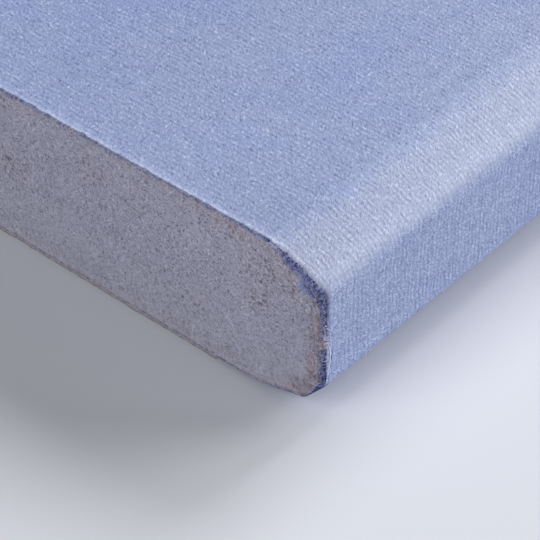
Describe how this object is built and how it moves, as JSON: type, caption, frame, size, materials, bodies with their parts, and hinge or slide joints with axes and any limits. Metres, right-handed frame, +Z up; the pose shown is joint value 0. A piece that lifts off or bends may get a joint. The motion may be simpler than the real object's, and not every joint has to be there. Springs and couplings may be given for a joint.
{
  "type": "drywall sheet",
  "caption": "Flat rectangular gypsum board with a bluish paper face, grey back paper, bevelled paper-wrapped long edges and bare sawn ends, for lining walls and ceilings.",
  "frame": {"origin": "middle of the underside (the back paper's outer surface) of the sheet lying face up", "axes": "+X across the sheet from one wrapped long edge to the other, +Y along it from one sawn end to the other, +Z up, out of the face"},
  "size_m": [1.2, 2.5, 0.0125],
  "materials": {
    "gypsum_core": "matte",
    "face_paper": "matte",
    "back_paper": "matte"
  },
  "bodies": {
    "root": {"gypsum_core": "gypsum_core", "face_paper": "face_paper", "back_paper": "back_paper"}
  },
  "joints": []
}
